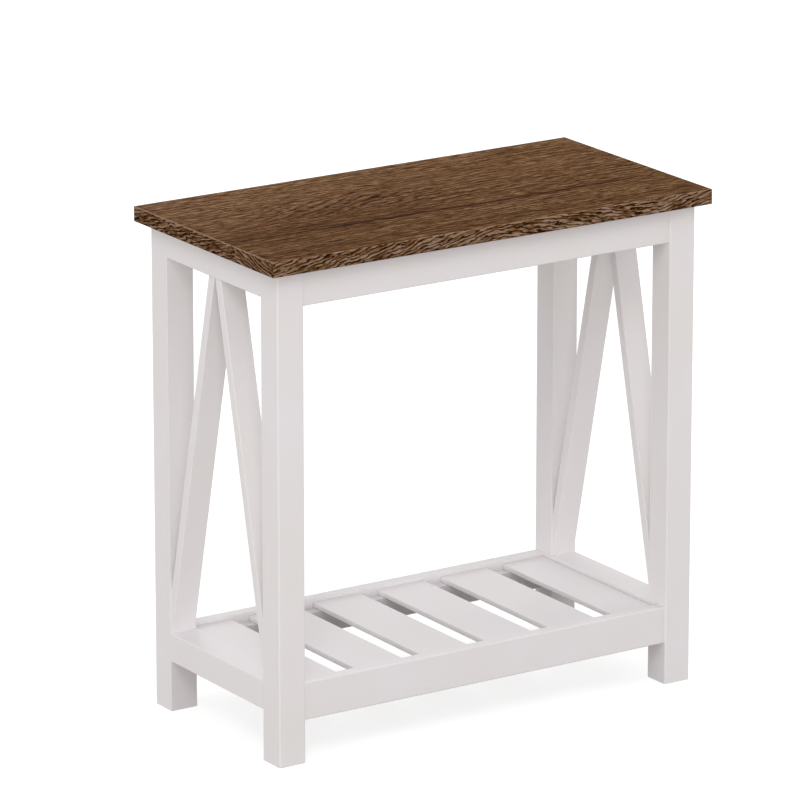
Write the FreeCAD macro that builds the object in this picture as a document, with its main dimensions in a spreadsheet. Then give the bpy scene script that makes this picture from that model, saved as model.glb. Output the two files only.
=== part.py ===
"""End table: a wood panel on four square legs, with a braced frame at each
end, aprons under the top and a shelf of slats laid from front to back.

Millimetres. +X runs along the top to the right, +Y to the rear, +Z up, and
the origin is on the floor under the middle of the top. Pieces that repeat in
each quarter are modelled in the rear right one, where all coordinates are
positive, and mirrored into the others.
"""
import FreeCAD, Part
import Sketcher
import os

V = FreeCAD.Vector
RIGHTWARD = V(1, 0, 0)
REARWARD = V(0, 1, 0)
UPWARD = V(0, 0, 1)
DOWNWARD = V(0, 0, -1)

SIZES = [
    # the whole table
    ("table_height", 600),
    ("top_length", 600),
    ("top_depth", 300),
    ("top_thickness", 18),
    ("top_round", 1),
    ("top_overhang", 14),
    ("leg_side", 35),
    ("leg_round", 2),
    ("leg_seam_round", 0.5),
    # end frames: rails as deep as the legs, and two braces leaning together
    ("top_rail_height", 35),
    ("lower_rail_height", 35),
    ("shelf_level", 96),
    ("rail_round", 1.5),
    ("brace_width", 12),
    ("brace_reveal", 2),
    ("brace_round", 1),
    ("brace_peak_gap", 1),
    # long rails, set back from the legs' outer faces
    ("rail_recess", 2),
    ("apron_height", 43),
    ("apron_thickness", 15),
    ("shelf_rail_height", 45),
    ("shelf_rail_thickness", 15),
    # the slatted shelf
    ("slat_thickness", 7),
    ("slat_width", 66),
    ("slat_gap", 24),
    ("slat_drop", 4.5),
    ("slat_round", 1.5),
    ("cleat_height", 15),
    ("cleat_depth", 15),
    ("fit_gap", 0.5),
    # dowels, which bottom out short of their bores
    ("dowel_diameter", 8),
    ("end_dowel_in_leg", 18),
    ("end_dowel_in_rail", 20),
    ("end_dowel_spacing", 16),
    ("rail_dowel_in_leg", 13),
    ("rail_dowel_in_rail", 17),
    ("apron_dowel_drop", 10),
    ("shelf_dowel_drop", 14),
    ("brace_dowel_diameter", 6),
    ("brace_dowel_in_leg", 10),
    ("brace_dowel_in_brace", 6),
    ("brace_dowel_rise", 43),
    ("bore_clearance", 0.1),
    ("bore_end_gap", 0.8),
    # cam locks in the long rails and the bolts that they pull
    ("cam_diameter", 15),
    ("cam_height", 12),
    ("cam_setback", 34),
    ("apron_cam_rise", 12.5),
    ("shelf_cam_rise", 9),
    ("cam_recess_length", 8),
    ("cam_recess_width", 1.4),
    ("cam_recess_depth", 2),
    ("bolt_shaft_diameter", 6.6),
    ("bolt_thread_diameter", 6),
    ("bolt_thread_length", 11),
    ("bolt_neck_diameter", 4),
    ("bolt_neck_length", 5),
    ("bolt_head_length", 2.6),
    # frame screws, with flat heads in counterbores
    ("frame_screw_diameter", 4),
    ("frame_head_diameter", 8),
    ("frame_head_height", 2.5),
    ("top_screw_bite", 12),
    ("top_screw_counterbore", 13),
    ("top_screw_offset", 60),
    ("brace_screw_bite", 10),
    ("brace_screw_counterbore", 15),
    # small countersunk screws of the shelf
    ("screw_diameter", 3.5),
    ("screw_head_diameter", 7),
    ("screw_head_height", 1.8),
    ("cleat_screw_bite", 10),
    ("slat_screw_bite", 5),
    # angle brackets between aprons and top
    ("bracket_leg", 20),
    ("bracket_width", 16),
    ("bracket_thickness", 1.5),
    ("bracket_hole_setback", 12),
    ("bracket_offset", 130),
    ("bracket_bend", 0.6),
    ("bracket_screw_bite", 10),
    ("bracket_head_height", 2),
]

# Places that several pieces share, as expressions over the sheet of sizes.
LEG_TOP = "(Sizes.table_height - Sizes.top_thickness)"
LEG_X = "(Sizes.top_length / 2 - Sizes.top_overhang - Sizes.leg_side / 2)"
LEG_Y = "(Sizes.top_depth / 2 - Sizes.top_overhang - Sizes.leg_side / 2)"
BAY_X = "(Sizes.top_length / 2 - Sizes.top_overhang - Sizes.leg_side)"
BAY_Y = "(Sizes.top_depth / 2 - Sizes.top_overhang - Sizes.leg_side)"
RAIL_OUTER_Y = "(Sizes.top_depth / 2 - Sizes.top_overhang - Sizes.rail_recess)"
APRON_Y = f"({RAIL_OUTER_Y} - Sizes.apron_thickness / 2)"
APRON_INNER_Y = f"({RAIL_OUTER_Y} - Sizes.apron_thickness)"
SHELF_RAIL_Y = f"({RAIL_OUTER_Y} - Sizes.shelf_rail_thickness / 2)"
SHELF_INNER_Y = f"({RAIL_OUTER_Y} - Sizes.shelf_rail_thickness)"
APRON_BASE = f"({LEG_TOP} - Sizes.apron_height)"
SHELF_RAIL_BASE = "(Sizes.shelf_level - Sizes.shelf_rail_height)"
TOP_RAIL_BASE = f"({LEG_TOP} - Sizes.top_rail_height)"
LOWER_RAIL_BASE = "(Sizes.shelf_level - Sizes.lower_rail_height)"
APRON_DOWEL_Z = f"({LEG_TOP} - Sizes.apron_dowel_drop)"
SHELF_DOWEL_Z = "(Sizes.shelf_level - Sizes.shelf_dowel_drop)"
APRON_CAM_Z = f"({APRON_BASE} + Sizes.apron_cam_rise)"
SHELF_CAM_Z = f"({SHELF_RAIL_BASE} + Sizes.shelf_cam_rise)"
BRACE_DOWEL_Z = "(Sizes.shelf_level + Sizes.brace_dowel_rise)"
SLAT_BASE = "(Sizes.shelf_level - Sizes.slat_drop - Sizes.slat_thickness)"
CLEAT_Y = f"({SHELF_INNER_Y} - Sizes.cleat_depth / 2)"
CLEAT_INNER_Y = f"({SHELF_INNER_Y} - Sizes.cleat_depth)"
CLEAT_BASE = f"({SLAT_BASE} - Sizes.cleat_height)"
CLEAT_SCREW_Z = f"({SLAT_BASE} - Sizes.cleat_height / 2)"

# A brace's lean, sideways over height, and its width measured level.
BRACE_HEIGHT = f"({TOP_RAIL_BASE} - Sizes.shelf_level)"
BRACE_LEAN = f"(({BAY_Y} - Sizes.brace_peak_gap / 2) / {BRACE_HEIGHT})"
BRACE_LEVEL_WIDTH = f"(Sizes.brace_width * sqrt(1 + {BRACE_LEAN}^2))"
BRACE_DEPTH = "(Sizes.leg_side - 2 * Sizes.brace_reveal)"
BRACE_SCREW_Y = (f"((Sizes.brace_peak_gap + {BRACE_LEVEL_WIDTH}"
                 f" + {BRACE_LEAN} * Sizes.brace_screw_bite) / 2)")

# Bores are wider than what they hold, and a little deeper.
DOWEL_BORE = "(Sizes.dowel_diameter + 2 * Sizes.bore_clearance)"
BRACE_DOWEL_BORE = "(Sizes.brace_dowel_diameter + 2 * Sizes.bore_clearance)"
CAM_BORE = "(Sizes.cam_diameter + 2 * Sizes.bore_clearance)"
BOLT_BORE = "(Sizes.bolt_shaft_diameter + 2 * Sizes.bore_clearance)"
THREAD_BORE = "(Sizes.bolt_thread_diameter + 2 * Sizes.bore_clearance)"
FRAME_SCREW_BORE = "(Sizes.frame_screw_diameter + 2 * Sizes.bore_clearance)"
FRAME_HEAD_BORE = "(Sizes.frame_head_diameter + 2 * Sizes.bore_clearance)"
SCREW_BORE = "(Sizes.screw_diameter + 2 * Sizes.bore_clearance)"

# Slats: equal ones, and one at each end that fills what is left of the bay.
SLAT_PITCH = "(Sizes.slat_width + Sizes.slat_gap)"
INNER_SLATS = 4
OUTER_SLAT_START = f"({SLAT_PITCH} * {INNER_SLATS / 2} + Sizes.slat_gap / 2)"
OUTER_SLAT_END = f"({BAY_X} - Sizes.fit_gap)"
OUTER_SLAT_WIDTH = f"({OUTER_SLAT_END} - {OUTER_SLAT_START})"
OUTER_SLAT_X = f"(({OUTER_SLAT_END} + {OUTER_SLAT_START}) / 2)"
SLAT_LENGTH = f"(2 * ({SHELF_INNER_Y} - Sizes.fit_gap))"
RIGHT_SLAT_X = [f"({SLAT_PITCH} * 0.5)", f"({SLAT_PITCH} * 1.5)", OUTER_SLAT_X]
# The cleats are screwed on at the middles of the gaps, clear of the slats' screws.
CLEAT_SCREW_X = [SLAT_PITCH, f"(2 * {SLAT_PITCH})"]

doc = FreeCAD.newDocument("EndTable")
sheet = doc.addObject("Spreadsheet::Sheet", "Sizes")
for row, (alias, value) in enumerate(SIZES, start=1):
    sheet.set(f"A{row}", alias)
    sheet.set(f"B{row}", str(value))
    sheet.setAlias(f"B{row}", alias)
doc.recompute()


# ---- building blocks ----

def number(expression):
    """The value that an expression has now."""
    return float(sheet.evalExpression(expression))


def bind(item, **properties):
    """Binds an object's properties to expressions over the sheet."""
    for name, expression in properties.items():
        item.setExpression(name, expression)


def place(item, x="0", y="0", z="0"):
    """Binds where an object stands."""
    for axis, expression in zip("xyz", (x, y, z)):
        item.setExpression(f"Placement.Base.{axis}", expression)
    return item


def new_body(name, x="0", y="0", z="0"):
    return place(doc.addObject("PartDesign::Body", name), x, y, z)


def sketch_on(body, role, name="Section"):
    """A sketch on one of the body's own origin planes."""
    planes = {feature.Role: feature for feature in body.Origin.OriginFeatures}
    sketch = body.newObject("Sketcher::SketchObject", name)
    sketch.AttachmentSupport = [(planes[role], "")]
    sketch.MapMode = "FlatFace"
    return sketch


def constrain(sketch, expression, *constraint):
    """Adds a dimension and binds it to an expression."""
    index = sketch.addConstraint(Sketcher.Constraint(*constraint, number(expression)))
    sketch.setExpression(f"Constraints[{index}]", expression)


def polygon(sketch, corners):
    """Closes a polygon through corners, each a pair of expressions."""
    points = [V(number(across), number(along), 0) for across, along in corners]
    for index, point in enumerate(points):
        following = points[(index + 1) % len(points)]
        sketch.addGeometry(Part.LineSegment(point, following), False)
    for index, (across, along) in enumerate(corners):
        before = index - 1 if index else len(corners) - 1
        sketch.addConstraint(Sketcher.Constraint("Coincident", before, 2, index, 1))
        constrain(sketch, across, "DistanceX", -1, 1, index, 1)
        constrain(sketch, along, "DistanceY", -1, 1, index, 1)
    return sketch


def pad(body, sketch, length, centred=False):
    """Extrudes a sketch, away from its plane or to both sides of it."""
    feature = body.newObject("PartDesign::Pad", "Pad")
    feature.Profile = sketch
    feature.SideType = "Symmetric" if centred else "One side"
    bind(feature, Length=length)
    return feature


def bar(name, width, depth, height, x="0", y="0", z="0"):
    """A body that is a rectangular bar, centred on its place and standing on it."""
    body = new_body(name, x, y, z)
    half = [f"({size} / 2)" for size in (width, depth)]
    corners = [(f"({right} * {half[0]})", f"({rear} * {half[1]})")
               for right, rear in ((-1, -1), (1, -1), (1, 1), (-1, 1))]
    pad(body, polygon(sketch_on(body, "XY_Plane"), corners), height)
    return body


def round_edges(body, radius, chosen):
    """Rounds those straight edges of the body's last feature that are chosen."""
    doc.recompute()
    base = body.Tip
    names = [f"Edge{index}" for index, edge in enumerate(base.Shape.Edges, start=1) if chosen(edge)]
    fillet = body.newObject("PartDesign::Fillet", "Fillet")
    fillet.Base = (base, names)
    bind(fillet, Radius=radius)


def runs_along(axis):
    """Chooses the edges that run along an axis."""
    def chosen(edge):
        return abs(edge.tangentAt(edge.FirstParameter).dot(axis)) > 0.99
    return chosen


def drill(body, direction, diameter, depth, x="0", y="0", z="0"):
    """Bores a flat-bottomed hole from a mouth in the body's own frame."""
    hole = body.newObject("PartDesign::SubtractiveCylinder", "Bore")
    hole.Placement.Rotation = FreeCAD.Rotation(UPWARD, direction)
    bind(hole, Radius=f"{diameter} / 2", Height=depth)
    return place(hole, x, y, z)


def countersink(body, direction, x="0", y="0", z="0"):
    """Opens the mouth of a screw's hole for its conical head."""
    cone = body.newObject("PartDesign::SubtractiveCone", "Countersink")
    cone.Placement.Rotation = FreeCAD.Rotation(UPWARD, direction)
    bind(cone, Radius1="Sizes.screw_head_diameter / 2 + Sizes.bore_clearance",
         Radius2=f"{SCREW_BORE} / 2", Height="Sizes.screw_head_height")
    return place(cone, x, y, z)


def mirrored(source, name, normal):
    """The other hand of a piece, across a plane through the table's centre."""
    copy = doc.addObject("Part::Mirroring", name)
    copy.Source = source
    copy.Normal = normal
    return copy


def group(name, pieces):
    """Equal pieces held in one node, each still a solid of its own."""
    compound = doc.addObject("Part::Compound", name)
    compound.Links = pieces
    return compound


def in_all_quarters(name, pieces):
    """Groups pieces of the rear right quarter with their mirrored copies."""
    quarter = group(f"{name}_quarter", pieces)
    left = mirrored(quarter, f"{name}_left", RIGHTWARD)
    rear = group(f"{name}_rear", [quarter, left])
    return group(name, [rear, mirrored(rear, f"{name}_front", REARWARD)])


def turned(name, corners):
    """A body turned about its own Z axis from a half profile that meets it."""
    body = doc.addObject("PartDesign::Body", name)
    sketch = polygon(sketch_on(body, "XZ_Plane"), corners)
    feature = body.newObject("PartDesign::Revolution", "Turned")
    feature.Profile = sketch
    feature.ReferenceAxis = (sketch, ["V_Axis"])
    feature.Angle = 360
    return body


def copy_of(source, name, direction, x, y, z):
    """A linked copy whose own Z axis points in a direction."""
    link = doc.addObject("App::Link", name)
    link.LinkedObject = source
    link.Placement.Rotation = FreeCAD.Rotation(UPWARD, direction)
    return place(link, x, y, z)


# ---- the top ----

def tabletop():
    """A panel with blind bores underneath for the screws that hold it."""
    body = bar("tabletop", "Sizes.top_length", "Sizes.top_depth", "Sizes.top_thickness", z=LEG_TOP)
    round_edges(body, "Sizes.top_round", lambda edge: True)
    screw_depth = "Sizes.top_screw_bite + Sizes.bore_end_gap"
    bracket_depth = "Sizes.bracket_screw_bite + Sizes.bore_end_gap"
    bracket_y = f"({APRON_INNER_Y} - Sizes.bracket_hole_setback)"
    for right in (-1, 1):
        for rear in (-1, 1):
            drill(body, UPWARD, FRAME_SCREW_BORE, screw_depth,
                  x=f"{right} * {LEG_X}", y=f"{rear} * Sizes.top_screw_offset")
            drill(body, UPWARD, SCREW_BORE, bracket_depth,
                  x=f"{right} * Sizes.bracket_offset", y=f"{rear} * {bracket_y}")
    return body


# ---- the end frames ----

def leg():
    """The rear right leg, bored from its two inner faces.

    The end rails lie flush with it, so its two edges beside them are rounded
    less, to leave no groove at the seam.
    """
    body = bar("rear_right_leg", "Sizes.leg_side", "Sizes.leg_side", LEG_TOP, x=LEG_X, y=LEG_Y)
    upright = runs_along(UPWARD)
    round_edges(body, "Sizes.leg_round", lambda edge: upright(edge) and edge.CenterOfMass.y > 0)
    round_edges(body, "Sizes.leg_seam_round", lambda edge: upright(edge) and edge.CenterOfMass.y < 0)
    inner_face = "(-1 * Sizes.leg_side / 2)"
    for middle in (f"({LEG_TOP} - Sizes.top_rail_height / 2)",
                   "(Sizes.shelf_level - Sizes.lower_rail_height / 2)"):
        for side in (-0.5, 0.5):
            drill(body, REARWARD, DOWEL_BORE, "Sizes.end_dowel_in_leg + Sizes.bore_end_gap",
                  y=inner_face, z=f"{middle} + {side} * Sizes.end_dowel_spacing")
    drill(body, REARWARD, BRACE_DOWEL_BORE, "Sizes.brace_dowel_in_leg + Sizes.bore_end_gap",
          y=inner_face, z=BRACE_DOWEL_Z)
    for rail_y, dowel_z, cam_z in ((APRON_Y, APRON_DOWEL_Z, APRON_CAM_Z),
                                   (SHELF_RAIL_Y, SHELF_DOWEL_Z, SHELF_CAM_Z)):
        across = f"({rail_y} - {LEG_Y})"
        drill(body, RIGHTWARD, DOWEL_BORE, "Sizes.rail_dowel_in_leg + Sizes.bore_end_gap",
              x=inner_face, y=across, z=dowel_z)
        drill(body, RIGHTWARD, THREAD_BORE, "Sizes.bolt_thread_length + Sizes.bore_end_gap",
              x=inner_face, y=across, z=cam_z)
    return body


def end_rail(name, height, base):
    """A rail between the right-hand legs, doweled at both ends."""
    body = bar(name, "Sizes.leg_side", f"2 * {BAY_Y}", height, x=LEG_X, z=base)
    round_edges(body, "Sizes.rail_round", runs_along(REARWARD))
    for rear, inward in ((1, V(0, -1, 0)), (-1, REARWARD)):
        for side in (-0.5, 0.5):
            drill(body, inward, DOWEL_BORE, "Sizes.end_dowel_in_rail + Sizes.bore_end_gap",
                  y=f"{rear} * {BAY_Y}", z=f"{height} / 2 + {side} * Sizes.end_dowel_spacing")
    return body


def top_rail():
    """The upper end rail, which also takes the screws of the top and the braces."""
    body = end_rail("right_top_rail", "Sizes.top_rail_height", TOP_RAIL_BASE)
    for rear in (-1, 1):
        top_y = f"{rear} * Sizes.top_screw_offset"
        drill(body, UPWARD, FRAME_HEAD_BORE, "Sizes.top_screw_counterbore", y=top_y)
        drill(body, UPWARD, FRAME_SCREW_BORE, "Sizes.top_rail_height", y=top_y)
        brace_y = f"{rear} * {BRACE_SCREW_Y}"
        drill(body, DOWNWARD, FRAME_HEAD_BORE, "Sizes.brace_screw_counterbore",
              y=brace_y, z="Sizes.top_rail_height")
        drill(body, UPWARD, FRAME_SCREW_BORE, "Sizes.top_rail_height", y=brace_y)
    return body


def brace():
    """A leaning brace, cut level under the top rail and upright against the leg.

    Its inner edge runs from beside the middle of the top rail down to the
    corner between the leg and the lower rail.
    """
    body = new_body("right_rear_brace", x=LEG_X)
    sketch = sketch_on(body, "YZ_Plane")
    inner_top = V(number("Sizes.brace_peak_gap / 2"), number(TOP_RAIL_BASE), 0)
    outer_top = inner_top + V(number(BRACE_LEVEL_WIDTH), 0, 0)
    toe = V(number(BAY_Y), number("Sizes.shelf_level"), 0)
    heel = toe + V(0, number(f"{BRACE_LEVEL_WIDTH} / {BRACE_LEAN}"), 0)
    level_cut, outer_edge, upright_cut, inner_edge = range(4)
    for start, end in ((inner_top, outer_top), (outer_top, heel), (heel, toe), (toe, inner_top)):
        sketch.addGeometry(Part.LineSegment(start, end), False)
    for first, second in ((0, 1), (1, 2), (2, 3), (3, 0)):
        sketch.addConstraint(Sketcher.Constraint("Coincident", first, 2, second, 1))
    sketch.addConstraint(Sketcher.Constraint("Horizontal", level_cut))
    sketch.addConstraint(Sketcher.Constraint("Vertical", upright_cut))
    sketch.addConstraint(Sketcher.Constraint("Parallel", inner_edge, outer_edge))
    constrain(sketch, "Sizes.brace_peak_gap / 2", "DistanceX", -1, 1, level_cut, 1)
    constrain(sketch, TOP_RAIL_BASE, "DistanceY", -1, 1, level_cut, 1)
    constrain(sketch, BAY_Y, "DistanceX", -1, 1, inner_edge, 1)
    constrain(sketch, "Sizes.shelf_level", "DistanceY", -1, 1, inner_edge, 1)
    constrain(sketch, "Sizes.brace_width", "Distance", outer_edge, 1, inner_edge)
    pad(body, sketch, BRACE_DEPTH, centred=True)
    lean = V(0, -number(BRACE_LEAN), 1).normalize()
    round_edges(body, "Sizes.brace_round", runs_along(lean))
    drill(body, DOWNWARD, FRAME_SCREW_BORE, "Sizes.brace_screw_bite + Sizes.bore_end_gap",
          y=BRACE_SCREW_Y, z=TOP_RAIL_BASE)
    drill(body, V(0, -1, 0), BRACE_DOWEL_BORE, "Sizes.brace_dowel_in_brace + Sizes.bore_end_gap",
          y=BAY_Y, z=BRACE_DOWEL_Z)
    return body


# ---- the long rails ----

def long_rail(name, thickness, height, centre_y, base, dowel_z, cam_z):
    """A rear rail between the legs, with a dowel and a cam lock at each end."""
    body = bar(name, f"2 * {BAY_X}", thickness, height, y=centre_y, z=base)
    round_edges(body, "Sizes.rail_round", runs_along(RIGHTWARD))
    for right, inward in ((1, V(-1, 0, 0)), (-1, RIGHTWARD)):
        end = f"{right} * {BAY_X}"
        drill(body, inward, DOWEL_BORE, "Sizes.rail_dowel_in_rail + Sizes.bore_end_gap",
              x=end, z=f"{dowel_z} - {base}")
        drill(body, inward, BOLT_BORE, "Sizes.cam_setback", x=end, z=f"{cam_z} - {base}")
        drill(body, REARWARD, CAM_BORE, "Sizes.cam_height + Sizes.bore_clearance",
              x=f"{right} * ({BAY_X} - Sizes.cam_setback)", y=f"-1 * {thickness} / 2",
              z=f"{cam_z} - {base}")
    return body


def apron():
    """The rear apron, with bores for the screws of two angle brackets."""
    body = long_rail("rear_apron", "Sizes.apron_thickness", "Sizes.apron_height", APRON_Y,
                     APRON_BASE, APRON_DOWEL_Z, APRON_CAM_Z)
    for right in (-1, 1):
        drill(body, REARWARD, SCREW_BORE, "Sizes.bracket_screw_bite + Sizes.bore_end_gap",
              x=f"{right} * Sizes.bracket_offset", y="-1 * Sizes.apron_thickness / 2",
              z="Sizes.apron_height - Sizes.bracket_hole_setback")
    return body


def shelf_rail():
    """The rear shelf rail, with bores for the cleat's screws."""
    body = long_rail("rear_shelf_rail", "Sizes.shelf_rail_thickness", "Sizes.shelf_rail_height",
                     SHELF_RAIL_Y, SHELF_RAIL_BASE, SHELF_DOWEL_Z, SHELF_CAM_Z)
    for screw_x in CLEAT_SCREW_X:
        for right in (-1, 1):
            drill(body, REARWARD, SCREW_BORE, "Sizes.cleat_screw_bite + Sizes.bore_end_gap",
                  x=f"{right} * {screw_x}", y="-1 * Sizes.shelf_rail_thickness / 2",
                  z=f"{CLEAT_SCREW_Z} - {SHELF_RAIL_BASE}")
    return body


# ---- the shelf ----

def cleat():
    """The rear cleat: screwed to the shelf rail, with the slats screwed down on it."""
    body = bar("rear_shelf_cleat", f"2 * ({BAY_X} - Sizes.fit_gap)", "Sizes.cleat_depth",
               "Sizes.cleat_height", y=CLEAT_Y, z=CLEAT_BASE)
    inner_face = "-1 * Sizes.cleat_depth / 2"
    for right in (-1, 1):
        for screw_x in CLEAT_SCREW_X:
            mouth = {"x": f"{right} * {screw_x}", "y": inner_face, "z": "Sizes.cleat_height / 2"}
            drill(body, REARWARD, SCREW_BORE, "Sizes.cleat_depth", **mouth)
            countersink(body, REARWARD, **mouth)
        for slat_x in RIGHT_SLAT_X:
            drill(body, UPWARD, SCREW_BORE, "Sizes.cleat_height", x=f"{right} * {slat_x}")
            countersink(body, UPWARD, x=f"{right} * {slat_x}")
    return body


def slat(name, width, x):
    """A slat with a blind bore for one screw at each end."""
    body = bar(name, width, SLAT_LENGTH, "Sizes.slat_thickness", x=x, z=SLAT_BASE)
    round_edges(body, "Sizes.slat_round", runs_along(REARWARD))
    for rear in (-1, 1):
        drill(body, UPWARD, SCREW_BORE, "Sizes.slat_screw_bite + Sizes.bore_end_gap / 2",
              y=f"{rear} * {CLEAT_Y}")
    return body


# ---- fasteners ----

def dowel(name, diameter, length):
    """A plain wooden pin that starts at its own origin."""
    pin = doc.addObject("Part::Cylinder", name)
    bind(pin, Radius=f"{diameter} / 2", Height=length)
    return pin


def end_dowels():
    """Dowels between the end rails and the legs, one group for each end."""
    length = "Sizes.end_dowel_in_leg + Sizes.end_dowel_in_rail"
    pin = dowel("end_dowel", "Sizes.dowel_diameter", length)
    start = f"{BAY_Y} - Sizes.end_dowel_in_rail"
    rear_pins = []
    for middle in (f"({LEG_TOP} - Sizes.top_rail_height / 2)",
                   "(Sizes.shelf_level - Sizes.lower_rail_height / 2)"):
        for side in (-0.5, 0.5):
            height = f"{middle} + {side} * Sizes.end_dowel_spacing"
            rear_pins.append(copy_of(pin, "end_pin", REARWARD, LEG_X, start, height))
    rear = group("rear_end_pins", rear_pins)
    right = group("right_frame_dowels", [rear, mirrored(rear, "front_end_pins", REARWARD)])
    return [right, mirrored(right, "left_frame_dowels", RIGHTWARD)]


def rail_dowels():
    """Dowels between the long rails and the legs."""
    length = "Sizes.rail_dowel_in_leg + Sizes.rail_dowel_in_rail"
    pin = dowel("rail_dowel", "Sizes.dowel_diameter", length)
    start = f"{BAY_X} - Sizes.rail_dowel_in_rail"
    pins = [copy_of(pin, "rail_pin", RIGHTWARD, start, y, z)
            for y, z in ((APRON_Y, APRON_DOWEL_Z), (SHELF_RAIL_Y, SHELF_DOWEL_Z))]
    return in_all_quarters("rail_dowels", pins)


def brace_dowels():
    """Short dowels between the feet of the braces and the legs."""
    length = "Sizes.brace_dowel_in_brace + Sizes.brace_dowel_in_leg"
    pin = dowel("brace_dowel", "Sizes.brace_dowel_diameter", length)
    start = f"{BAY_Y} - Sizes.brace_dowel_in_brace"
    pins = [copy_of(pin, "brace_pin", REARWARD, LEG_X, start, BRACE_DOWEL_Z)]
    return in_all_quarters("brace_dowels", pins)


def cam_bolts():
    """Bolts screwed into the legs, whose heads reach into the cam locks."""
    head = "Sizes.bolt_head_length / 2"
    neck = f"({head} + Sizes.bolt_neck_length)"
    joint = "Sizes.cam_setback"
    tip = f"({joint} + Sizes.bolt_thread_length)"
    radii = {part: f"Sizes.bolt_{part}_diameter / 2" for part in ("neck", "shaft", "thread")}
    bolt = turned("cam_bolt", [
        ("0", f"-1 * {head}"), (radii["shaft"], f"-1 * {head}"), (radii["shaft"], head),
        (radii["neck"], head), (radii["neck"], neck), (radii["shaft"], neck),
        (radii["shaft"], joint), (radii["thread"], joint), (radii["thread"], tip), ("0", tip)])
    start = f"{BAY_X} - Sizes.cam_setback"
    bolts = [copy_of(bolt, "bolt", RIGHTWARD, start, y, z)
             for y, z in ((APRON_Y, APRON_CAM_Z), (SHELF_RAIL_Y, SHELF_CAM_Z))]
    return in_all_quarters("cam_bolts", bolts)


def cam_lock(name, bolt_depth):
    """A drum with a side pocket, this deep, for its bolt, and a cross recess."""
    drum = doc.addObject("PartDesign::Body", name)
    core = drum.newObject("PartDesign::AdditiveCylinder", "Drum")
    bind(core, Radius="Sizes.cam_diameter / 2", Height="Sizes.cam_height")
    pocket = "(Sizes.bolt_shaft_diameter + 4 * Sizes.bore_clearance)"
    drill(drum, RIGHTWARD, pocket, "(Sizes.cam_diameter / 2 + Sizes.bolt_head_length)",
          x="-1 * Sizes.bolt_head_length", z=bolt_depth)
    for across, along in (("length", "width"), ("width", "length")):
        slot = drum.newObject("PartDesign::SubtractiveBox", "Recess")
        bind(slot, Length=f"Sizes.cam_recess_{across}", Width=f"Sizes.cam_recess_{along}",
             Height="Sizes.cam_recess_depth")
        place(slot, f"-1 * Sizes.cam_recess_{across} / 2", f"-1 * Sizes.cam_recess_{along} / 2")
    return drum


def cam_locks():
    """Cams that grip the bolts, which run in the middle of each long rail."""
    cam_x = f"{BAY_X} - Sizes.cam_setback"
    cams = []
    for rail, y, z in (("apron", APRON_INNER_Y, APRON_CAM_Z),
                       ("shelf_rail", SHELF_INNER_Y, SHELF_CAM_Z)):
        drum = cam_lock(f"{rail}_cam_lock", f"(Sizes.{rail}_thickness / 2)")
        cams.append(copy_of(drum, f"{rail}_cam", REARWARD, cam_x, y, z))
    return in_all_quarters("cam_locks", cams)


def flat_head_screw(name, diameter, length, head_diameter, head_height):
    """A screw with a flat head, seated at its own origin and pointing along Z."""
    radius = f"{diameter} / 2"
    return turned(name, [
        ("0", f"-1 * {head_height}"), (f"{head_diameter} / 2", f"-1 * {head_height}"),
        (f"{head_diameter} / 2", "0"), (radius, "0"), (radius, length), ("0", length)])


def countersunk_screw(name, length):
    """A small screw whose head is flush with its own origin, pointing along Z."""
    radius = "Sizes.screw_diameter / 2"
    return turned(name, [
        ("0", "0"), ("Sizes.screw_head_diameter / 2", "0"), (radius, "Sizes.screw_head_height"),
        (radius, length), ("0", length)])


def frame_screws():
    """Screws up into the top and down into the braces, through the top rails."""
    head = ("Sizes.frame_head_diameter", "Sizes.frame_head_height")
    top_grip = "(Sizes.top_rail_height - Sizes.top_screw_counterbore)"
    top = flat_head_screw("top_screw", "Sizes.frame_screw_diameter",
                          f"({top_grip} + Sizes.top_screw_bite)", *head)
    brace_grip = "(Sizes.top_rail_height - Sizes.brace_screw_counterbore)"
    down = flat_head_screw("brace_screw", "Sizes.frame_screw_diameter",
                           f"({brace_grip} + Sizes.brace_screw_bite)", *head)
    top_seat = f"{TOP_RAIL_BASE} + Sizes.top_screw_counterbore"
    brace_seat = f"{LEG_TOP} - Sizes.brace_screw_counterbore"
    return [
        in_all_quarters("top_screws", [copy_of(
            top, "upward_screw", UPWARD, LEG_X, "Sizes.top_screw_offset", top_seat)]),
        in_all_quarters("brace_screws", [copy_of(
            down, "downward_screw", DOWNWARD, LEG_X, BRACE_SCREW_Y, brace_seat)])]


def shelf_screws():
    """Screws through the cleats: level ones into the rails, upright ones into the slats."""
    level = countersunk_screw("cleat_screw", "(Sizes.cleat_depth + Sizes.cleat_screw_bite)")
    upright = countersunk_screw("slat_screw", "(Sizes.cleat_height + Sizes.slat_screw_bite)")
    level_screws = [copy_of(level, "level_screw", REARWARD, x, CLEAT_INNER_Y, CLEAT_SCREW_Z)
                    for x in CLEAT_SCREW_X]
    upright_screws = [copy_of(upright, "upright_screw", UPWARD, x, CLEAT_Y, CLEAT_BASE)
                      for x in RIGHT_SLAT_X]
    return [in_all_quarters("cleat_screws", level_screws),
            in_all_quarters("slat_screws", upright_screws)]


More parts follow.
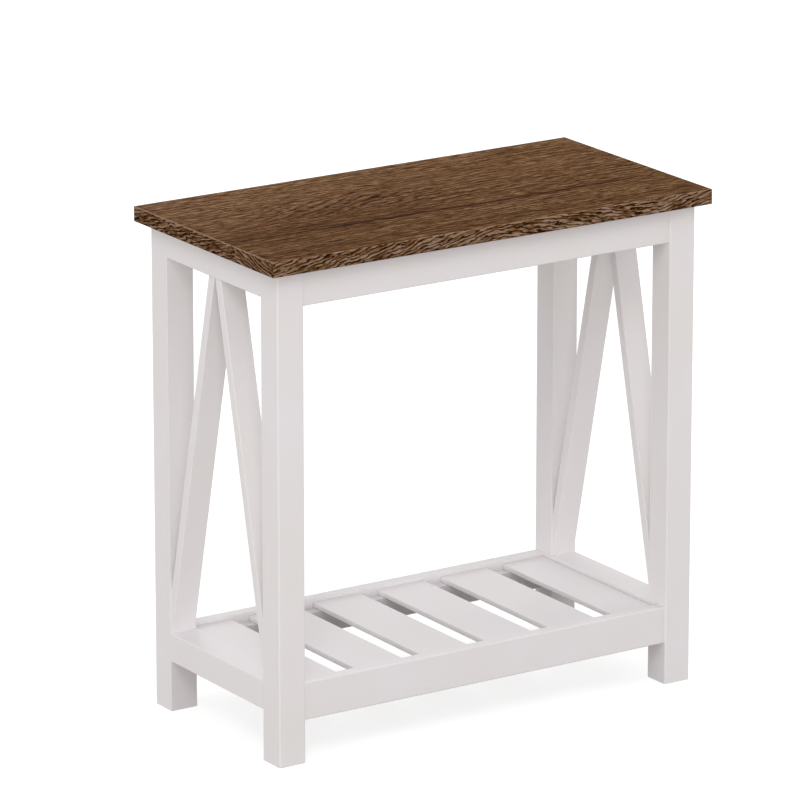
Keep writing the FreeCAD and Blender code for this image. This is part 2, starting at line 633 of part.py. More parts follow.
def brackets():
    """Angle brackets in the corners between the aprons and the top, and their screws."""
    body = doc.addObject("PartDesign::Body", "angle_bracket")
    leg_end = "-1 * Sizes.bracket_leg"
    inside = "-1 * Sizes.bracket_thickness"
    profile = polygon(sketch_on(body, "YZ_Plane"), [
        ("0", "0"), (leg_end, "0"), (leg_end, inside), (inside, inside), (inside, leg_end),
        ("0", leg_end)])
    pad(body, profile, "Sizes.bracket_width", centred=True)
    inner_bend = V(0, -number("Sizes.bracket_thickness"), -number("Sizes.bracket_thickness"))
    round_edges(body, "Sizes.bracket_bend",
                lambda edge: edge.distToShape(Part.Vertex(inner_bend))[0] < 0.01
                and runs_along(RIGHTWARD)(edge))
    hole = "-1 * Sizes.bracket_hole_setback"
    drill(body, UPWARD, SCREW_BORE, "Sizes.bracket_thickness", y=hole, z=inside)
    drill(body, REARWARD, SCREW_BORE, "Sizes.bracket_thickness", y=inside, z=hole)
    screw = flat_head_screw("bracket_screw", "Sizes.screw_diameter",
                            "(Sizes.bracket_thickness + Sizes.bracket_screw_bite)",
                            "Sizes.screw_head_diameter", "Sizes.bracket_head_height")
    bracket = copy_of(body, "bracket", UPWARD, "Sizes.bracket_offset", APRON_INNER_Y, LEG_TOP)
    screws = [
        copy_of(screw, "bracket_top_screw", UPWARD, "Sizes.bracket_offset",
                f"{APRON_INNER_Y} - Sizes.bracket_hole_setback", f"{LEG_TOP} {inside}"),
        copy_of(screw, "bracket_apron_screw", REARWARD, "Sizes.bracket_offset",
                f"{APRON_INNER_Y} {inside}", f"{LEG_TOP} - Sizes.bracket_hole_setback")]
    return [in_all_quarters("top_brackets", [bracket]),
            in_all_quarters("bracket_screws", screws)]


# ---- the table ----

def left_and_right(piece):
    """A right-hand piece and its mirrored copy on the left."""
    return [piece, mirrored(piece, piece.Name.replace("right", "left"), RIGHTWARD)]


def front_and_rear(piece):
    """A rear piece and its mirrored copy at the front."""
    return [piece, mirrored(piece, piece.Name.replace("rear", "front"), REARWARD)]


def all_slats():
    """Slats numbered from the left."""
    places = [f"-1 * {x}" for x in reversed(RIGHT_SLAT_X)] + RIGHT_SLAT_X
    outer = (1, len(places))
    return [slat(f"shelf_slat_{count}", OUTER_SLAT_WIDTH if count in outer else "Sizes.slat_width", x)
            for count, x in enumerate(places, start=1)]


def build():
    """Every piece of the table."""
    pieces = [tabletop()]
    for rear_piece in (leg(), brace()):
        for piece in left_and_right(rear_piece):
            pieces += front_and_rear(piece)
    for right_piece in (top_rail(),
                        end_rail("right_lower_rail", "Sizes.lower_rail_height", LOWER_RAIL_BASE)):
        pieces += left_and_right(right_piece)
    for rear_piece in (apron(), shelf_rail(), cleat()):
        pieces += front_and_rear(rear_piece)
    pieces += all_slats()
    pieces += end_dowels() + [rail_dowels(), brace_dowels(), cam_bolts(), cam_locks()]
    pieces += frame_screws() + shelf_screws() + brackets()
    return pieces


def check(pieces):
    """Stops if any object failed or any piece has no sound shape."""
    failed = [item.Name for item in doc.Objects
              if "Invalid" in item.State or "Error" in item.State]
    if failed:
        raise RuntimeError(f"failed objects: {failed}")
    for piece in pieces:
        if piece.Shape.isNull() or not piece.Shape.isValid():
            raise RuntimeError(f"no sound shape: {piece.Label}")


subparts = build()
doc.recompute()
check(subparts)
os.makedirs("parts", exist_ok=True)
for subpart in subparts:
    subpart.Shape.exportStep(f"parts/{subpart.Label}.step")
print(len(subparts), "pieces written")
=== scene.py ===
"""End table with a slatted shelf: finishes, screws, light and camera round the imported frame.

The camera, lamps and floor are placed in metres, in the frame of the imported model.
The finishes and the screws are worked out in millimetres in the same frame.
"""

import math

import bpy
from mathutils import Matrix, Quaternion, Vector


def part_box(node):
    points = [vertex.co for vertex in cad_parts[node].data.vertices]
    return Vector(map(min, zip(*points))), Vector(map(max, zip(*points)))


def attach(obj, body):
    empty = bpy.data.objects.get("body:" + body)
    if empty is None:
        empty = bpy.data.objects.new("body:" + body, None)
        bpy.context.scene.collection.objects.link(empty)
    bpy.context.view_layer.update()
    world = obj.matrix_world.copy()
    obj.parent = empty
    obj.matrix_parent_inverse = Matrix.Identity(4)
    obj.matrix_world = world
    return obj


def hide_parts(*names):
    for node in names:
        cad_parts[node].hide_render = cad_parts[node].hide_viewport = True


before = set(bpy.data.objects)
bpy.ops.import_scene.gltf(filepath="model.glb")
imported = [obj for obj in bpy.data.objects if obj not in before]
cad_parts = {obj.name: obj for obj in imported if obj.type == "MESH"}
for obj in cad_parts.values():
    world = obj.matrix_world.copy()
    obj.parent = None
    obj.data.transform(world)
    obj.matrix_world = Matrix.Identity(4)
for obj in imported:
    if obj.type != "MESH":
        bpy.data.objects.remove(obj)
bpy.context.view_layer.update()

MM = 0.001


class Box:
    """The box of a CAD node at rest, in millimetres."""

    def __init__(self, node):
        low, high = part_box(node)
        self.low = low / MM
        self.high = high / MM
        self.middle = (self.low + self.high) / 2


# Camera ------------------------------------------------------------------------------

AZIMUTH = math.radians(-33.25)
ELEVATION = math.radians(16.32)
CAMERA_DISTANCE = 7.2
LENS = 279.0
LOOK_AT = Vector((-0.0236, 0.0155, 0.3572))
FARTHEST_SEEN = 60.0


def stand(name, data, place, towards):
    """Puts a camera or a lamp in its place, turned towards a direction."""
    thing = bpy.data.objects.new(name, data)
    thing.location = place
    thing.rotation_mode = "QUATERNION"
    thing.rotation_quaternion = towards.to_track_quat("-Z", "Y")
    bpy.context.scene.collection.objects.link(thing)
    return thing


def add_camera():
    back = Vector(
        (
            math.sin(AZIMUTH) * math.cos(ELEVATION),
            -math.cos(AZIMUTH) * math.cos(ELEVATION),
            math.sin(ELEVATION),
        )
    )
    data = bpy.data.cameras.new("camera")
    data.lens = LENS
    data.clip_end = FARTHEST_SEEN
    place = LOOK_AT + back * CAMERA_DISTANCE
    bpy.context.scene.camera = stand("camera", data, place, -back)


# Shader workshop ---------------------------------------------------------------------


class Wire:
    """An output of a shader node. Sums written with it add Math nodes."""

    def __init__(self, board, socket):
        self.board = board
        self.socket = socket

    def __add__(self, other):
        return self.board.maths("ADD", self, other)

    def __radd__(self, other):
        return self.board.maths("ADD", other, self)

    def __sub__(self, other):
        return self.board.maths("SUBTRACT", self, other)

    def __rsub__(self, other):
        return self.board.maths("SUBTRACT", other, self)

    def __mul__(self, other):
        return self.board.maths("MULTIPLY", self, other)

    def __rmul__(self, other):
        return self.board.maths("MULTIPLY", other, self)

    def __truediv__(self, other):
        return self.board.maths("DIVIDE", self, other)

    def __abs__(self):
        return self.board.maths("ABSOLUTE", self)


class Board:
    """A node tree, and the one way that nodes are put on it."""

    def __init__(self, tree):
        self.tree = tree
        tree.nodes.clear()

    def node(self, kind, settings=None, inputs=None, output=0):
        """Adds a node and gives back the wire of one output, if it has any."""
        made = self.tree.nodes.new(kind)
        for name, value in (settings or {}).items():
            if name == "stops":
                self.set_stops(made.color_ramp.elements, value)
            else:
                setattr(made, name, value)
        for name, value in (inputs or {}).items():
            if isinstance(value, Wire):
                self.tree.links.new(value.socket, made.inputs[name])
            else:
                made.inputs[name].default_value = value
        if not made.outputs:
            return None
        return Wire(self, made.outputs[output])

    @staticmethod
    def set_stops(elements, stops):
        elements.remove(elements[0])
        for number, (position, colour) in enumerate(stops):
            stop = elements[0] if number == 0 else elements.new(position)
            stop.position = position
            stop.color = colour

    def maths(self, operation, *values):
        return self.node(
            "ShaderNodeMath", {"operation": operation}, dict(enumerate(values))
        )

    def smaller(self, first, second):
        return self.maths("MINIMUM", first, second)

    def larger(self, first, second):
        return self.maths("MAXIMUM", first, second)

    def wave(self, turns):
        """A sine of turns, from -1 to 1."""
        return self.maths("SINE", turns * math.tau)

    def rise(self, value, start, end, low=0.0, high=1.0):
        """low at start, high at end, and held beyond them, with a smooth step between."""
        return self.node(
            "ShaderNodeMapRange",
            {"interpolation_type": "SMOOTHSTEP"},
            {0: value, 1: start, 2: end, 3: low, 4: high},
        )

    def bell(self, value, centre, reach):
        """1 at centre, falling smoothly to 0 at reach on either side."""
        return self.rise(abs(value - centre), 0.0, reach, 1.0, 0.0)

    def noise(self, where, size=1.0, detail=2.0, roughness=0.5):
        """Soft noise from 0 to 1, with marks of about the size given."""
        return self.node(
            "ShaderNodeTexNoise",
            None,
            {
                "Vector": where,
                "Scale": 1.0 / size,
                "Detail": detail,
                "Roughness": roughness,
            },
        )

    def marks(self, x, length, y, width, layer, detail=2.0, roughness=0.5):
        """Noise drawn out to marks of length by width. Each layer has its own marks."""
        where = self.node(
            "ShaderNodeCombineXYZ", None, {0: x / length, 1: y / width, 2: layer}
        )
        return self.noise(where, detail=detail, roughness=roughness)

    def blend(self, factor, first, second, kind="MIX"):
        return self.node(
            "ShaderNodeMix",
            {"data_type": "RGBA", "blend_type": kind},
            {0: factor, 6: first, 7: second},
            output=2,
        )

    def ramp(self, value, stops):
        return self.node("ShaderNodeValToRGB", {"stops": stops}, {0: value})


class Finish(Board):
    """A material: one Principled shader and what feeds it."""

    def __init__(self, name):
        self.material = bpy.data.materials.new(name)
        self.material.use_nodes = True
        super().__init__(self.material.node_tree)
        metres = self.node("ShaderNodeTexCoord", output="Object")
        self.place = self.node(
            "ShaderNodeVectorMath", {"operation": "SCALE"}, {0: metres, "Scale": 1.0 / MM}
        )

    def axes(self):
        """x, y and z in millimetres."""
        return [
            self.node("ShaderNodeSeparateXYZ", None, {0: self.place}, output=axis)
            for axis in range(3)
        ]

    def stretched(self, lengths):
        """The place, with a mark's length along each axis as the unit."""
        scale = [1.0 / length for length in lengths]
        return self.node("ShaderNodeMapping", None, {"Vector": self.place, "Scale": scale})

    def done(self, height, depth, strength, **sockets):
        """Adds the shader. height, in parts of depth (mm), gives it relief."""
        relief = self.node(
            "ShaderNodeBump",
            None,
            {"Strength": strength, "Distance": depth * MM, "Height": height},
        )
        inputs = {name.replace("_", " "): value for name, value in sockets.items()}
        inputs["Normal"] = relief
        shader = self.node("ShaderNodeBsdfPrincipled", None, inputs)
        self.node("ShaderNodeOutputMaterial", None, {0: shader})
        return self.material


def colour(red, green, blue):
    """A colour given as it looks on a screen, 0 to 255, as the shader wants it."""

    def linear(level):
        level /= 255.0
        return level / 12.92 if level <= 0.04045 else ((level + 0.055) / 1.055) ** 2.4

    return (linear(red), linear(green), linear(blue), 1.0)


def grey(level):
    return (level, level, level, 1.0)


# The top's board ---------------------------------------------------------------------

TOP = Box("tabletop")

# How deep inside the board a face's look, and the top edge's paler wear and painted highlight,
# begin and are full.
FACE_DEPTHS = (0.5, 0.1)
ARRIS_DEPTHS = (1.5, 0.9)

# Where the climbing lines of the edges turn, along x on the long sides and y on the ends.
SIDE_CREST = -6.0
SIDE_DIP = 225.0
END_CREST = -70.0
RING_STEP = 4.4

OAK_TONES = [
    (0.0, colour(42, 20, 4)),
    (0.22, colour(72, 43, 16)),
    (0.5, colour(103, 75, 46)),
    (0.75, colour(127, 99, 74)),
    (1.0, colour(154, 129, 107)),
]
OAK_TINTS = (colour(255, 233, 226), colour(250, 241, 204))
OAK_EDGE_TINT = colour(252, 250, 254)


def face_tone(f, x, y, face_down):
    """Flat-sawn grain: lines run lengthwise, and slant in a flame left of the middle.
    Places are counted from the middle of the top, across from front to rear."""
    drift = f.marks(x, 260.0, y, 90.0, face_down * 7.0) - 0.5
    flame = f.bell(y, 26.0, 58.0) * f.rise(x, -250.0, -150.0) * f.rise(x, 90.0, -60.0)
    calm = f.bell(y, -42.0, 34.0) * f.rise(x, -290.0, -220.0) * f.rise(x, 40.0, -60.0)
    across = y + drift * 26.0
    slant = across - x * 0.42

    warp = f.marks(x, 60.0, across, 18.0, 5.0)
    lines = f.wave(across / 8.5 + warp * 2.4)
    dashes = f.marks(x, 22.0, across, 6.0, 7.0, detail=1.0)
    lines = lines * (dashes - 0.15) * (1.0 - flame * 0.7)
    flame_lines = f.wave(slant / 12.0 + warp * 1.6)
    flame_lines = f.rise(flame_lines, 0.35, 0.85) * f.rise(dashes, 0.32, 0.54) * flame

    broad = f.marks(x, 420.0, across, 30.0, 3.0) - 0.5
    streaks = f.marks(x, 85.0, across, 5.0, 11.0, detail=3.0, roughness=0.55) - 0.5
    flecks = f.marks(x, 18.0, across, 3.0, 17.0, detail=3.0, roughness=0.75) - 0.5
    flecks = flecks * (2.6 + broad * 3.0)
    pores = f.marks(x, 6.0, across, 0.9, 23.0, roughness=0.6)
    pores = f.rise(pores, 0.54, 0.68)

    dark_band = f.bell(across, -55.0, 7.0) * f.rise(x, -330.0, -60.0, 0.45, 1.0)
    dark_band = dark_band * f.rise(x, 290.0, 190.0)
    front_band = f.bell(across, -121.0, 12.0)
    pale_band = f.bell(across, 88.0, 4.0) * f.bell(x, 50.0, 170.0)
    rear_lift = f.rise(across, -20.0, 60.0)

    return (
        0.465
        + rear_lift * 0.08
        + broad * 0.30
        + (streaks * 0.90 + flecks + lines * 0.40) * (1.0 - calm * 0.25)
        - pores * 0.20
        - calm * 0.10
        - dark_band * 0.34
        - front_band * 0.10
        + pale_band * 0.14
        - flame_lines * 0.62
    )


def edge_tone(f, x, y, z, on_end, left_end_painted_shade):
    """Bold growth lines that climb and dip along each edge of the board, and painted shade on
    the left end.
    """
    along = x + on_end * (y - x)
    climb_side = (
        f.smaller(x, SIDE_CREST) * 0.26
        - f.rise(x, SIDE_CREST, SIDE_DIP) * 26.0
        + f.larger(x, SIDE_DIP) * 0.24
    )
    climb_end = f.smaller(y, END_CREST) * 0.30 - f.larger(y, END_CREST) * 0.24
    lift = z - (climb_side + on_end * (climb_end - climb_side))
    layer = (1.0 - on_end) * f.rise(y, -20.0, 20.0) * 40.0
    layer = layer + on_end * f.rise(x, -20.0, 20.0) * 90.0

    ripple = f.marks(along, 28.0, z, 10.0, layer) - 0.5
    waver = f.marks(along, 10.0, lift, 3.0, layer + 5.0, detail=1.0) - 0.5
    rings = f.maths("FRACT", lift / RING_STEP + ripple * 2.8 + waver)
    dark_line = f.rise(rings, 0.0, 0.10) * f.rise(rings, 0.34, 0.14)
    pale_line = f.rise(rings, 0.30, 0.44) * f.rise(rings, 1.0, 0.50)
    boldness = f.marks(along, 24.0, lift, 3.6, layer + 7.0, detail=1.0)
    boldness = f.rise(boldness, 0.32, 0.66)
    fibre = f.marks(along, 10.0, lift, 1.3, layer + 9.0, roughness=0.7) - 0.5
    mottle = f.marks(along, 34.0, z, 12.0, layer + 13.0) - 0.5

    return (
        0.50
        # Painted shade: the left end is darker.
        - left_end_painted_shade * 0.12
        + mottle * 1.10
        - dark_line * (0.45 + boldness * 1.80)
        + pale_line * (boldness * 0.70 + 0.04)
        + fibre * 2.7
    )


def dark_oak():
    """The top's wrapped board: its tone, from 0 to 1, then its colours and its relief."""
    f = Finish("dark_oak")
    x, y, z = f.axes()
    below_top = TOP.high.z - z
    above_underside = z - TOP.low.z
    from_end = TOP.high.x - abs(x)
    from_side = TOP.high.y - abs(y)
    from_left = x - TOP.low.x

    face_up = f.rise(below_top, *FACE_DEPTHS)
    face_down = f.rise(above_underside, *FACE_DEPTHS)
    on_face = face_up + face_down
    on_end = f.rise(from_end, *FACE_DEPTHS)
    # Painted shade on the left end's edge.
    left_end_painted_shade = f.rise(from_left, 1.0, 0.0)
    edge = edge_tone(f, x, y, z, on_end, left_end_painted_shade)
    face = face_tone(f, x, y, face_down)

    rim = f.larger(f.rise(from_end, *ARRIS_DEPTHS), f.rise(from_side, *ARRIS_DEPTHS))
    # The top's edges are painted paler: partly wear, partly painted highlight.
    arris_wear_and_highlight = rim * f.rise(below_top, *ARRIS_DEPTHS)
    # Painted highlight: the left end's top edge is made paler still.
    left_arris_painted_highlight = arris_wear_and_highlight * f.rise(from_left, 2.4, 1.6)
    # Painted shade: a dark line along the bottom of each edge, full up to 0.6 mm above the
    # underside and gone by 1.8 mm.
    painted_bottom_shade = f.rise(above_underside, 1.8, 0.6) * (1.0 - face_down)
    tone = edge + on_face * (face - edge)
    tone = tone + arris_wear_and_highlight * 0.30 + left_arris_painted_highlight * 0.40 - painted_bottom_shade * 0.22

    hue = f.marks(x, 130.0, y, 80.0, z / 60.0, detail=1.0)
    tint = f.blend(on_face, OAK_EDGE_TINT, f.blend(hue, *OAK_TINTS))
    return f.done(
        height=tone,
        depth=0.35,
        strength=0.6,
        Base_Color=f.blend(1.0, f.ramp(tone, OAK_TONES), tint, "MULTIPLY"),
        Roughness=0.70 - tone * 0.14,
        Specular_IOR_Level=0.012,
    )


# Paint, dowels and metal -------------------------------------------------------------

# How far the brush's marks are drawn out along x, y and z.
ALONG_X = (140.0, 1.6, 1.6)
ALONG_Y = (1.6, 140.0, 1.6)
ALONG_Z = (1.6, 1.6, 140.0)


def white_paint(name, brushed):
    """Satin paint over smooth wood, brushed along one axis."""
    f = Finish(name)
    cloud = f.noise(f.place, size=95.0)
    brush = f.noise(f.stretched(brushed), roughness=0.55)
    peel = f.noise(f.place, size=1.3, detail=1.0)
    paint = f.ramp(
        cloud * 0.8 + brush * 0.2,
        [
            (0.30, colour(228, 225, 223)),
            (0.50, colour(230, 226, 227)),
            (0.70, colour(231, 227, 230)),
        ],
    )
    return f.done(
        height=brush * 0.6 + peel * 0.4,
        depth=0.06,
        strength=0.5,
        Base_Color=paint,
        Roughness=0.36 + cloud * 0.10 + peel * 0.06,
        Specular_IOR_Level=0.35,
    )


def beech():
    f = Finish("beech")
    rays = f.noise(f.stretched((3.0, 0.6, 0.6)))
    body = f.noise(f.place, size=14.0, detail=1.0)
    wood = f.ramp(
        rays * 0.7 + body * 0.3,
        [(0.3, colour(176, 132, 92)), (0.7, colour(214, 176, 134))],
    )
    return f.done(height=rays, depth=0.1, strength=0.5, Base_Color=wood, Roughness=0.6)


def zinc_plate():
    f = Finish("zinc_plate")
    bloom = f.noise(f.place, size=2.6, detail=3.0)
    spangle = f.noise(f.place, size=0.7, detail=1.0)
    plate = f.ramp(
        bloom,
        [(0.3, colour(176, 178, 184)), (0.7, colour(208, 209, 208))],
    )
    return f.done(
        height=spangle,
        depth=0.03,
        strength=0.4,
        Base_Color=plate,
        Metallic=1.0,
        Roughness=0.26 + bloom * 0.18,
    )


def cast_zinc():
    f = Finish("cast_zinc")
    skin = f.noise(f.place, size=0.5)
    mottle = f.noise(f.place, size=4.0, detail=1.0)
    metal = f.ramp(
        mottle,
        [(0.3, colour(146, 147, 150)), (0.7, colour(176, 176, 177))],
    )
    return f.done(
        height=skin,
        depth=0.08,
        strength=0.5,
        Base_Color=metal,
        Metallic=1.0,
        Roughness=0.44 + skin * 0.16,
    )


# Which piece has which finish --------------------------------------------------------

RAILS_LENGTHWISE = ("apron", "shelf_rail", "shelf_cleat")
RAILS_CROSSWISE = ("top_rail", "lower_rail")


def finish_nodes():
    """Gives each CAD node its finish, and gives back all finishes."""
    made = {
        "upright": white_paint("white_paint_upright", ALONG_Z),
        "lengthwise": white_paint("white_paint_lengthwise", ALONG_X),
        "crosswise": white_paint("white_paint_crosswise", ALONG_Y),
        "top": dark_oak(),
        "dowels": beech(),
        "plated": zinc_plate(),
        "cast": cast_zinc(),
    }
    for name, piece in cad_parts.items():
        if name == "tabletop":
            kind = "top"
        elif name.endswith(("_leg", "_brace")):
            kind = "upright"
        elif name.endswith(RAILS_LENGTHWISE):
            kind = "lengthwise"
        elif name.endswith(RAILS_CROSSWISE) or name.startswith("shelf_slat"):
            kind = "crosswise"
        elif name.endswith("dowels"):
            kind = "dowels"
        elif name == "cam_locks":
            kind = "cast"
        else:
            kind = "plated"
        slots = piece.data.materials
        for number in range(len(slots)):
            slots[number] = made[kind]
    return made


# Screws ------------------------------------------------------------------------------

SCREW_SIDES = 32
RIM_STEPS = 3
TIP_LENGTH = 3.0
TIP_NARROWING = 0.12
RECESS_NARROWING = 0.45
SMOOTH_ANGLE = math.radians(35.0)

# The cross recesses: reach, width and depth.
SMALL_CROSS = (4.0, 1.0, 1.2)
LARGE_CROSS = (4.8, 1.2, 1.6)

# A face is level when its normal's rise or fall is at least this.
LEVEL = 0.9

# How much farther each screw was driven round than the one before it, in radians.
DRIVEN_TURN = 2.4

# The kinds of screw. head and shank are radii, and rim rounds the edge of the face.
COUNTERSUNK = {
    "head": 3.5,
    "head_height": 1.8,
    "shank": 1.75,
    "rim": 0.15,
    "sunk": True,
    "cross": SMALL_CROSS,
}
SMALL_PAN = {
    "head": 3.5,
    "head_height": 2.0,
    "shank": 1.75,
    "rim": 0.7,
    "sunk": False,
    "cross": SMALL_CROSS,
}
LARGE_PAN = {
    "head": 4.0,
    "head_height": 2.5,
    "shank": 2.0,
    "rim": 0.6,
    "sunk": False,
    "cross": LARGE_CROSS,
}

BRACKET_WIDTH = 16.0
BRACKET_THICKNESS = 1.5
BRACKET_SCREW_OFFSET = 12.0
TOP_SCREW_Y = 60.0
COUNTERBORE_DEPTH = 13.0

UP = (0.0, 0.0, 1.0)
CORNERS = [(side, end) for side in (-1, 1) for end in (-1, 1)]


def looks_up(face):
    return face.normal.z > LEVEL


def looks_down(face):
    return face.normal.z < -LEVEL


def pick_faces(piece, wanted):
    """Opens a piece in edit mode with only the wanted faces selected."""
    bpy.ops.object.mode_set(mode="EDIT")
    bpy.ops.mesh.select_mode(type="FACE")
    bpy.ops.mesh.select_all(action="DESELECT")
    bpy.ops.object.mode_set(mode="OBJECT")
    for face in piece.data.polygons:
        face.select = wanted(face)
    bpy.ops.object.mode_set(mode="EDIT")


def narrow(share):
    """Scales what is picked towards its middle, level."""
    bpy.ops.transform.resize(value=(share, share, 1.0))


def draw_out(reach):
    """Extrudes the picked face upwards."""
    bpy.ops.mesh.extrude_region_move(
        TRANSFORM_OT_translate={"value": (0.0, 0.0, reach * MM)}
    )


def cut_cross(screw, face_z, reach, width, depth):
    """Sinks a cross, narrower at its bottom, into the face of a head."""
    for size_x, size_y in ((reach, width), (width, reach)):
        bpy.ops.object.select_all(action="DESELECT")
        bpy.ops.mesh.primitive_cube_add(
            size=1.0,
            location=(0.0, 0.0, face_z * MM),
            scale=(size_x * MM, size_y * MM, depth * 2 * MM),
        )
        cutter = bpy.context.object
        bpy.ops.object.transform_apply(location=True, rotation=False, scale=True)
        pick_faces(cutter, looks_up)
        narrow(RECESS_NARROWING)
        bpy.ops.object.mode_set(mode="OBJECT")
        cut = screw.modifiers.new("recess", "BOOLEAN")
        cut.operation = "DIFFERENCE"
        cut.solver = "EXACT"
        cut.object = cutter
        bpy.context.view_layer.objects.active = screw
        bpy.ops.object.modifier_apply(modifier=cut.name)
        bpy.data.objects.remove(cutter)


def cross_screw(length, head, head_height, shank, rim, sunk, cross):
    """A screw that points up. A sunk head has its face at the origin, any other its
    seat, and length is counted from there."""
    face_z = 0.0 if sunk else -head_height
    bpy.ops.object.select_all(action="DESELECT")
    bpy.ops.mesh.primitive_cylinder_add(
        vertices=SCREW_SIDES,
        radius=head * MM,
        depth=head_height * MM,
        location=(0.0, 0.0, (face_z + head_height / 2) * MM),
    )
    screw = bpy.context.object
    bpy.ops.object.transform_apply(location=True, rotation=False, scale=False)
    pick_faces(screw, looks_down)
    bpy.ops.mesh.bevel(offset=rim * MM, segments=RIM_STEPS, affect="EDGES")
    pick_faces(screw, looks_up)
    if sunk:
        narrow(shank / head)
    else:
        bpy.ops.mesh.inset(thickness=(head - shank) * MM)
    draw_out(length - TIP_LENGTH - (face_z + head_height))
    draw_out(TIP_LENGTH)
    narrow(TIP_NARROWING)
    bpy.ops.object.mode_set(mode="OBJECT")
    cut_cross(screw, face_z, *cross)
    return screw


def fit_screws(node, screw, places, steel):
    """Puts copies of a screw where a node's screws are, and lets them stand for the
    node. Each copy is turned on its own axis, as driven."""
    copies = []
    for number, (place, heading) in enumerate(places):
        copy = screw.copy()
        copy.data = screw.data.copy()
        copy.location = Vector(place) * MM
        copy.rotation_mode = "QUATERNION"
        driven = Quaternion(UP, number * DRIVEN_TURN)
        copy.rotation_quaternion = Vector(heading).to_track_quat("Z", "Y") @ driven
        bpy.context.scene.collection.objects.link(copy)
        copies.append(copy)
    bpy.data.objects.remove(screw)
    bpy.ops.object.select_all(action="DESELECT")
    for copy in copies:
        copy.select_set(True)
    bpy.context.view_layer.objects.active = copies[0]
    bpy.ops.object.transform_apply(location=True, rotation=True, scale=True)
    bpy.ops.object.join()
    piece = bpy.context.object
    piece.name = f"{node}_cross_recessed"
    bpy.ops.object.shade_smooth_by_angle(angle=SMOOTH_ANGLE)
    piece.data.materials.clear()
    piece.data.materials.append(steel)
    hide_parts(node)
    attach(piece, "root")


def add_screws(steel):
    """The screws whose heads show from below and between the slats."""
    slats = [Box(f"shelf_slat_{number}") for number in (4, 5, 6)]
    gaps_x = [(left.high.x + right.low.x) / 2 for left, right in zip(slats, slats[1:])]
    cleat = Box("rear_shelf_cleat")
    bracket = Box("top_brackets").high
    bracket_x = bracket.x - BRACKET_WIDTH / 2
    rail = Box("right_top_rail")

    fit_screws(
        "slat_screws",
        cross_screw(Box("slat_screws").high.z - cleat.low.z, **COUNTERSUNK),
        [
            ((side * slat.middle.x, end * cleat.middle.y, cleat.low.z), UP)
            for slat in slats
            for side, end in CORNERS
        ],
        steel,
    )
    fit_screws(
        "cleat_screws",
        cross_screw(Box("cleat_screws").high.y - cleat.low.y, **COUNTERSUNK),
        [
            ((side * gap_x, end * cleat.low.y, cleat.middle.z), (0.0, end, 0.0))
            for gap_x in gaps_x
            for side, end in CORNERS
        ],
        steel,
    )

    # One screw up into the top and one sideways into the apron, in each bracket.
    upward = (bracket.y - BRACKET_SCREW_OFFSET, bracket.z - BRACKET_THICKNESS)
    sideways = (bracket.y - BRACKET_THICKNESS, bracket.z - BRACKET_SCREW_OFFSET)
    fit_screws(
        "bracket_screws",
        cross_screw(Box("bracket_screws").high.z - upward[1], **SMALL_PAN),
        [
            ((side * bracket_x, end * y, z), heading)
            for side, end in CORNERS
            for (y, z), heading in ((upward, UP), (sideways, (0.0, end, 0.0)))
        ],
        steel,
    )

    seat_z = rail.low.z + COUNTERBORE_DEPTH
    fit_screws(
        "top_screws",
        cross_screw(Box("top_screws").high.z - seat_z, **LARGE_PAN),
        [
            ((side * rail.middle.x, end * TOP_SCREW_Y, seat_z), UP)
            for side, end in CORNERS
        ],
        steel,
    )


# Studio ------------------------------------------------------------------------------

WHITE = grey(1.0)
SKY_STRENGTH = 0.75
BACKDROP_STRENGTH = 1.0
FLOOR_SIZE = 60.0
FLOOR_GLOW = 0.70
FLOOR_VEIL = grey(0.5)
FLOOR_BOUNCE = (0.40, 0.375, 0.35, 1.0)

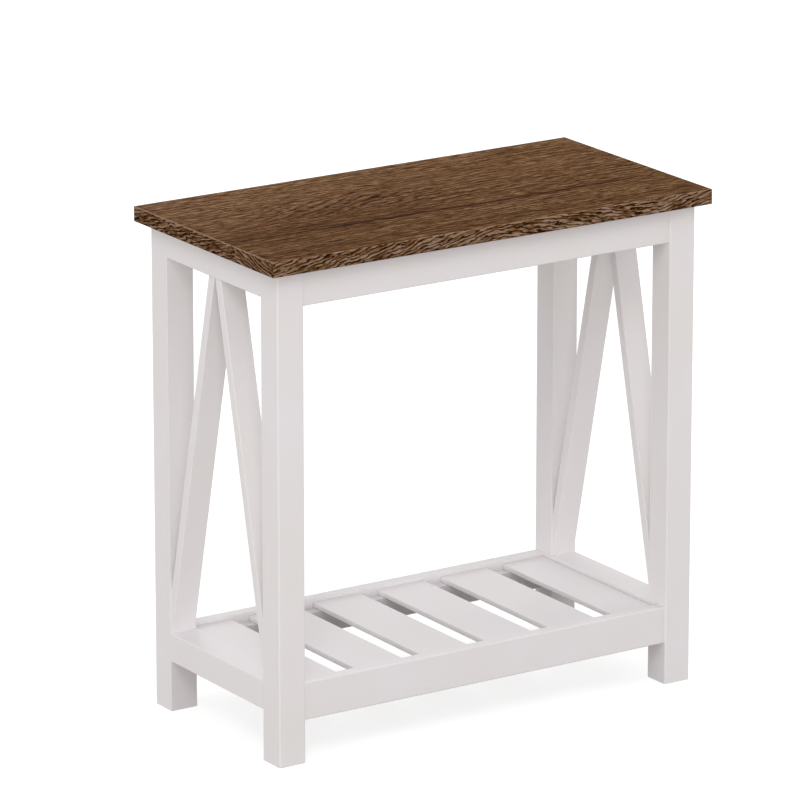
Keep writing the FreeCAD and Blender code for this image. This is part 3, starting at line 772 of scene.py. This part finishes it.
LAMPS = (
    # name, place, size, watts
    ("key_lamp", (-4.1, -6.3, 1.2), 4.0, 136.0),
    ("high_lamp", (-4.0, -4.7, 5.9), 2.9, 104.0),
    ("left_lamp", (-6.8, -2.0, 1.1), 3.0, 60.0),
    ("right_lamp", (6.5, -1.4, 1.8), 3.6, 110.0),
    ("rear_lamp", (1.4, 6.8, 2.0), 3.6, 120.0),
)
LAMPS_AIM = Vector((0.0, 0.0, 0.3))


def split_by_ray(board, lighting, shown):
    """One shader for the light it gives, another for what is seen of it: by the
    camera, in metal and through glass."""
    seen = board.node("ShaderNodeLightPath", output="Is Camera Ray")
    for ray in ("Is Glossy Ray", "Is Transmission Ray"):
        seen = board.larger(seen, board.node("ShaderNodeLightPath", output=ray))
    return board.node("ShaderNodeMixShader", None, {0: seen, 1: lighting, 2: shown})


def add_world():
    world = bpy.data.worlds.new("studio")
    world.use_nodes = True
    bpy.context.scene.world = world
    board = Board(world.node_tree)
    sky, backdrop = [
        board.node("ShaderNodeBackground", None, {"Color": WHITE, "Strength": strength})
        for strength in (SKY_STRENGTH, BACKDROP_STRENGTH)
    ]
    both = split_by_ray(board, sky, backdrop)
    board.node("ShaderNodeOutputWorld", None, {0: both})


def add_floor():
    bpy.ops.mesh.primitive_plane_add(size=FLOOR_SIZE, location=(0.0, 0.0, 0.0))
    floor = bpy.context.object
    floor.name = "studio_floor"
    material = bpy.data.materials.new("studio_floor")
    material.use_nodes = True
    board = Board(material.node_tree)
    glow = board.node(
        "ShaderNodeEmission", None, {"Color": WHITE, "Strength": FLOOR_GLOW}
    )
    veil = board.node("ShaderNodeBsdfDiffuse", None, {"Color": FLOOR_VEIL})
    shown = board.node("ShaderNodeAddShader", None, {0: glow, 1: veil})
    plain = board.node("ShaderNodeBsdfDiffuse", None, {"Color": FLOOR_BOUNCE})
    both = split_by_ray(board, plain, shown)
    board.node("ShaderNodeOutputMaterial", None, {0: both})
    floor.data.materials.append(material)


def add_lamps():
    for name, place, size, watts in LAMPS:
        data = bpy.data.lights.new(name, "AREA")
        data.shape = "DISK"
        data.size = size
        data.energy = watts
        stand(name, data, place, LAMPS_AIM - Vector(place))


# The table ---------------------------------------------------------------------------

bpy.context.scene.view_settings.view_transform = "Standard"
add_camera()
finishes = finish_nodes()
add_screws(finishes["plated"])
add_world()
add_floor()
add_lamps()
